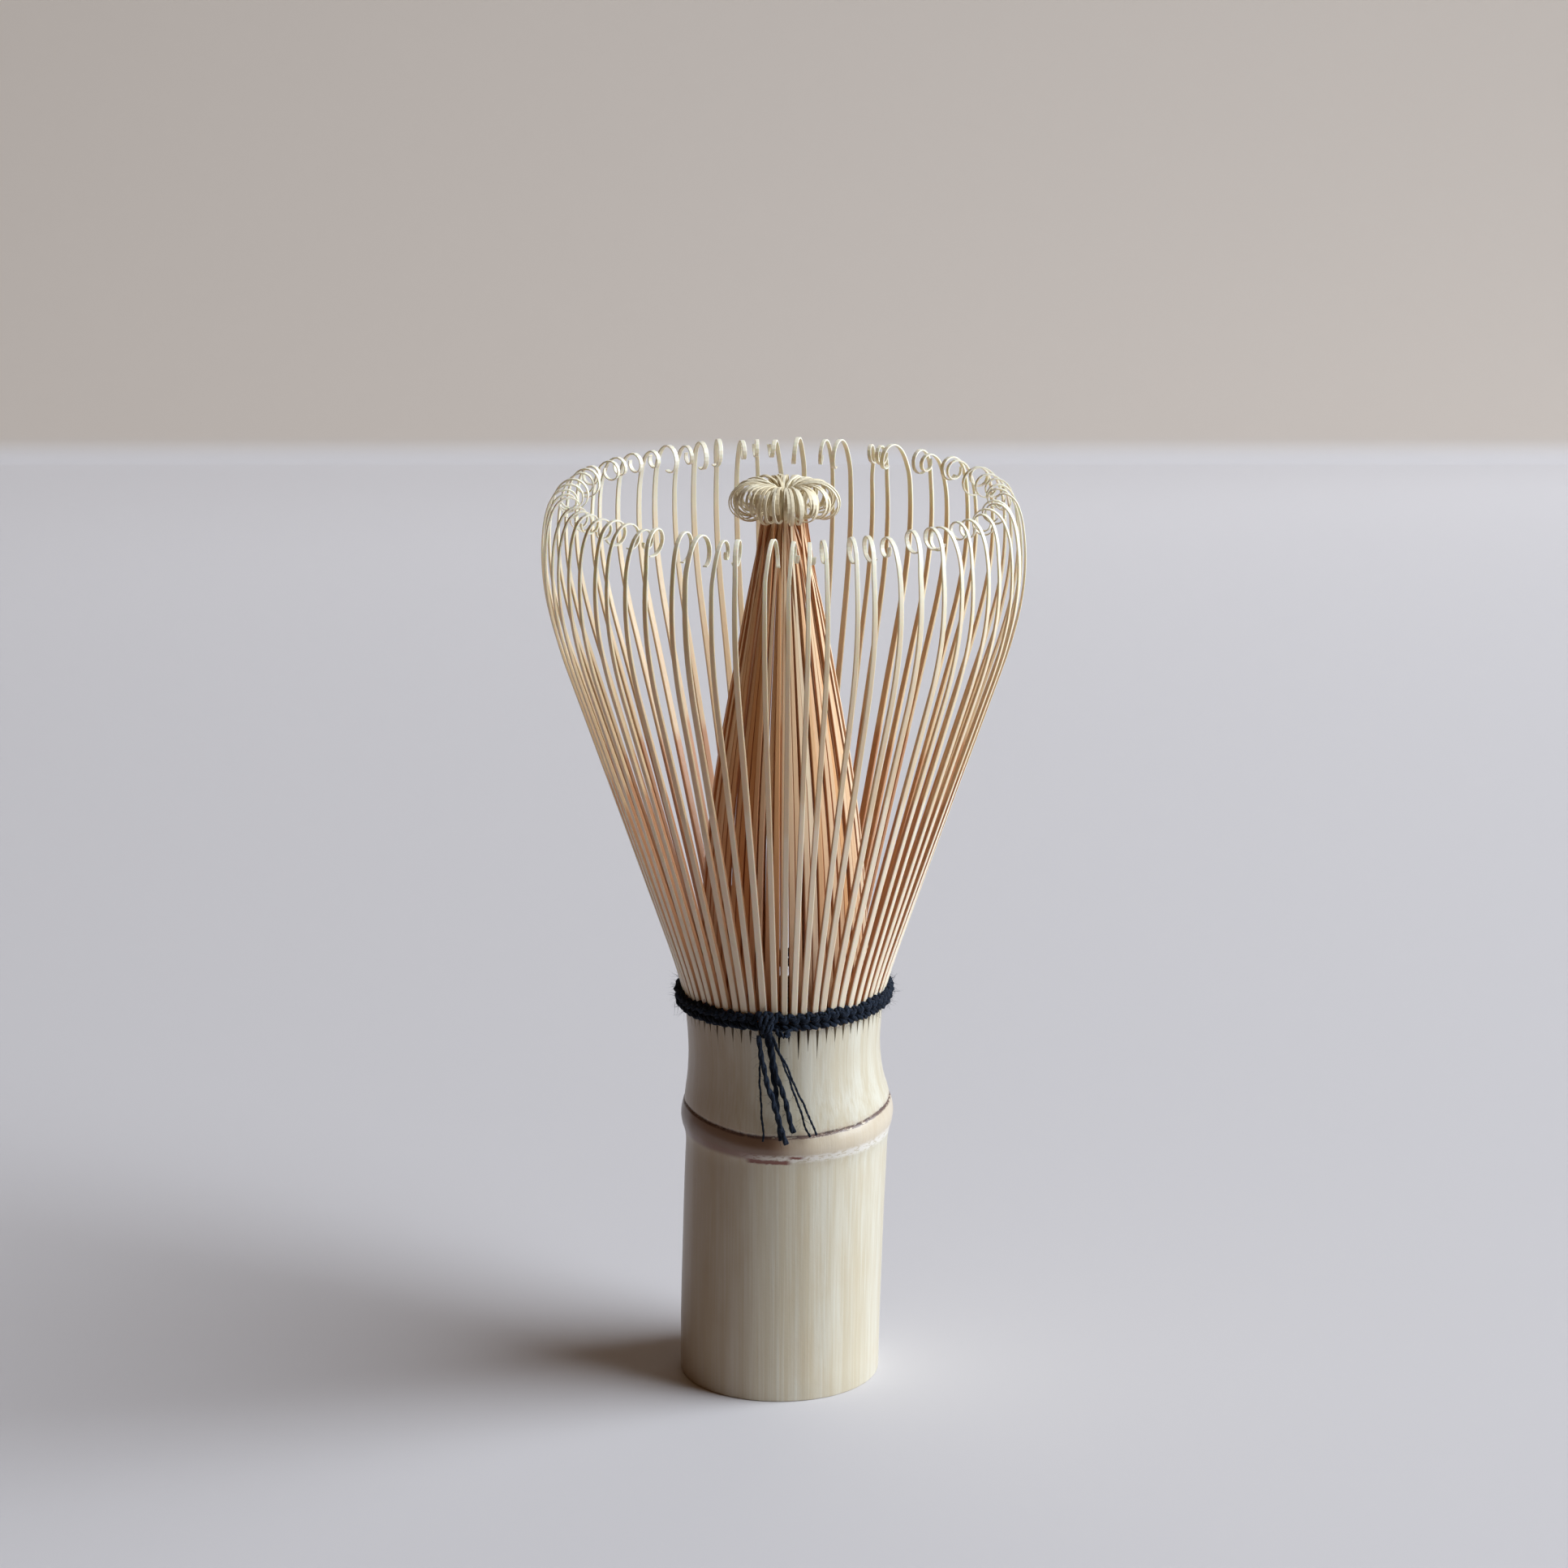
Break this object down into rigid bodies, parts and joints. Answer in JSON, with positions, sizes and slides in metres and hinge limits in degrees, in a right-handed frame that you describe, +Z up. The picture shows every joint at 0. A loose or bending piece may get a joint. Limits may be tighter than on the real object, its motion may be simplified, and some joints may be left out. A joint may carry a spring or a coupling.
{
  "type": "bamboo tea whisk",
  "caption": "Bamboo tea whisk: a culm handle split into a bell of sprung curled outer tines round a gathered inner bundle, bound by dark thread.",
  "frame": {"origin": "centre of the foot ring's plane on the whisk's main axis, so the whisk stands on Z = 0", "axes": "+Z up along the whisk's main axis from the foot to the tips; -Y is the side with the thread's knot"},
  "size_m": [0.0588, 0.0588, 0.1145],
  "materials": {
    "bamboo_skin": "pale dried bamboo skin, satin, with fine lengthwise fibres and a darker scar at the node",
    "bamboo_outer_tine": "split and shaved bamboo, satin skin outside, matt tan flesh on the cut sides, near-white at the tips",
    "bamboo_inner_tine": "split and shaved bamboo flesh, matt, warm reddish tan, paler at the curled tips",
    "cotton_thread": "twisted cotton thread dyed a blue-black, matt, slightly hairy"
  },
  "bodies": {
    "handle": {"handle_culm": "bamboo_skin", "inner_rib_01": "bamboo_inner_tine", "inner_rib_02": "bamboo_inner_tine", "inner_rib_03": "bamboo_inner_tine", "inner_rib_04": "bamboo_inner_tine", "inner_rib_05": "bamboo_inner_tine", "inner_rib_06": "bamboo_inner_tine", "inner_rib_07": "bamboo_inner_tine", "inner_rib_08": "bamboo_inner_tine", "inner_rib_09": "bamboo_inner_tine", "inner_rib_10": "bamboo_inner_tine", "inner_rib_11": "bamboo_inner_tine", "inner_rib_12": "bamboo_inner_tine", "inner_rib_13": "bamboo_inner_tine", "inner_rib_14": "bamboo_inner_tine", "inner_rib_15": "bamboo_inner_tine", "inner_rib_16": "bamboo_inner_tine", "thread_row_lower": "cotton_thread", "thread_row_upper": "cotton_thread", "thread_row_inner": "cotton_thread", "thread_knot": "cotton_thread", "thread_tail_1": "cotton_thread", "thread_tail_2": "cotton_thread", "thread_tail_3": "cotton_thread", "thread_tail_4": "cotton_thread", "thread_tail_5": "cotton_thread", "thread_tail_6": "cotton_thread"},
    "rib_01": {"outer_rib_01": "bamboo_outer_tine"},
    "rib_02": {"outer_rib_02": "bamboo_outer_tine"},
    "rib_03": {"outer_rib_03": "bamboo_outer_tine"},
    "rib_04": {"outer_rib_04": "bamboo_outer_tine"},
    "rib_05": {"outer_rib_05": "bamboo_outer_tine"},
    "rib_06": {"outer_rib_06": "bamboo_outer_tine"},
    "rib_07": {"outer_rib_07": "bamboo_outer_tine"},
    "rib_08": {"outer_rib_08": "bamboo_outer_tine"},
    "rib_09": {"outer_rib_09": "bamboo_outer_tine"},
    "rib_10": {"outer_rib_10": "bamboo_outer_tine"},
    "rib_11": {"outer_rib_11": "bamboo_outer_tine"},
    "rib_12": {"outer_rib_12": "bamboo_outer_tine"},
    "rib_13": {"outer_rib_13": "bamboo_outer_tine"},
    "rib_14": {"outer_rib_14": "bamboo_outer_tine"},
    "rib_15": {"outer_rib_15": "bamboo_outer_tine"},
    "rib_16": {"outer_rib_16": "bamboo_outer_tine"}
  },
  "joints": [
    {"name": "outer_rib_01_flex", "type": "hinge", "parent": "handle", "child": "rib_01", "pos_m": [0.01248, 0.00185, 0.0499], "axis": [-0.1467, 0.9892, 0], "range_deg": [-4, 4], "stiffness_Nm_per_rad": 0.005},
    {"name": "outer_rib_02_flex", "type": "hinge", "parent": "handle", "child": "rib_02", "pos_m": [0.01082, 0.00649, 0.0499], "axis": [-0.5141, 0.8577, 0], "range_deg": [-4, 4], "stiffness_Nm_per_rad": 0.005},
    {"name": "outer_rib_03_flex", "type": "hinge", "parent": "handle", "child": "rib_03", "pos_m": [0.00752, 0.01014, 0.0499], "axis": [-0.8032, 0.5957, 0], "range_deg": [-4, 4], "stiffness_Nm_per_rad": 0.005},
    {"name": "outer_rib_04_flex", "type": "hinge", "parent": "handle", "child": "rib_04", "pos_m": [0.00307, 0.01224, 0.0499], "axis": [-0.97, 0.243, 0], "range_deg": [-4, 4], "stiffness_Nm_per_rad": 0.005},
    {"name": "outer_rib_05_flex", "type": "hinge", "parent": "handle", "child": "rib_05", "pos_m": [-0.00185, 0.01248, 0.0499], "axis": [-0.9892, -0.1467, 0], "range_deg": [-4, 4], "stiffness_Nm_per_rad": 0.005},
    {"name": "outer_rib_06_flex", "type": "hinge", "parent": "handle", "child": "rib_06", "pos_m": [-0.00649, 0.01082, 0.0499], "axis": [-0.8577, -0.5141, 0], "range_deg": [-4, 4], "stiffness_Nm_per_rad": 0.005},
    {"name": "outer_rib_07_flex", "type": "hinge", "parent": "handle", "child": "rib_07", "pos_m": [-0.01014, 0.00752, 0.0499], "axis": [-0.5957, -0.8032, 0], "range_deg": [-4, 4], "stiffness_Nm_per_rad": 0.005},
    {"name": "outer_rib_08_flex", "type": "hinge", "parent": "handle", "child": "rib_08", "pos_m": [-0.01224, 0.00307, 0.0499], "axis": [-0.243, -0.97, 0], "range_deg": [-4, 4], "stiffness_Nm_per_rad": 0.005},
    {"name": "outer_rib_09_flex", "type": "hinge", "parent": "handle", "child": "rib_09", "pos_m": [-0.01248, -0.00185, 0.0499], "axis": [0.1467, -0.9892, 0], "range_deg": [-4, 4], "stiffness_Nm_per_rad": 0.005},
    {"name": "outer_rib_10_flex", "type": "hinge", "parent": "handle", "child": "rib_10", "pos_m": [-0.01082, -0.00649, 0.0499], "axis": [0.5141, -0.8577, 0], "range_deg": [-4, 4], "stiffness_Nm_per_rad": 0.005},
    {"name": "outer_rib_11_flex", "type": "hinge", "parent": "handle", "child": "rib_11", "pos_m": [-0.00752, -0.01014, 0.0499], "axis": [0.8032, -0.5957, 0], "range_deg": [-4, 4], "stiffness_Nm_per_rad": 0.005},
    {"name": "outer_rib_12_flex", "type": "hinge", "parent": "handle", "child": "rib_12", "pos_m": [-0.00307, -0.01224, 0.0499], "axis": [0.97, -0.243, 0], "range_deg": [-4, 4], "stiffness_Nm_per_rad": 0.005},
    {"name": "outer_rib_13_flex", "type": "hinge", "parent": "handle", "child": "rib_13", "pos_m": [0.00185, -0.01248, 0.0499], "axis": [0.9892, 0.1467, 0], "range_deg": [-4, 4], "stiffness_Nm_per_rad": 0.005},
    {"name": "outer_rib_14_flex", "type": "hinge", "parent": "handle", "child": "rib_14", "pos_m": [0.00649, -0.01082, 0.0499], "axis": [0.8577, 0.5141, 0], "range_deg": [-4, 4], "stiffness_Nm_per_rad": 0.005},
    {"name": "outer_rib_15_flex", "type": "hinge", "parent": "handle", "child": "rib_15", "pos_m": [0.01014, -0.00752, 0.0499], "axis": [0.5957, 0.8032, 0], "range_deg": [-4, 4], "stiffness_Nm_per_rad": 0.005},
    {"name": "outer_rib_16_flex", "type": "hinge", "parent": "handle", "child": "rib_16", "pos_m": [0.01224, -0.00307, 0.0499], "axis": [0.243, 0.97, 0], "range_deg": [-4, 4], "stiffness_Nm_per_rad": 0.005}
  ]
}
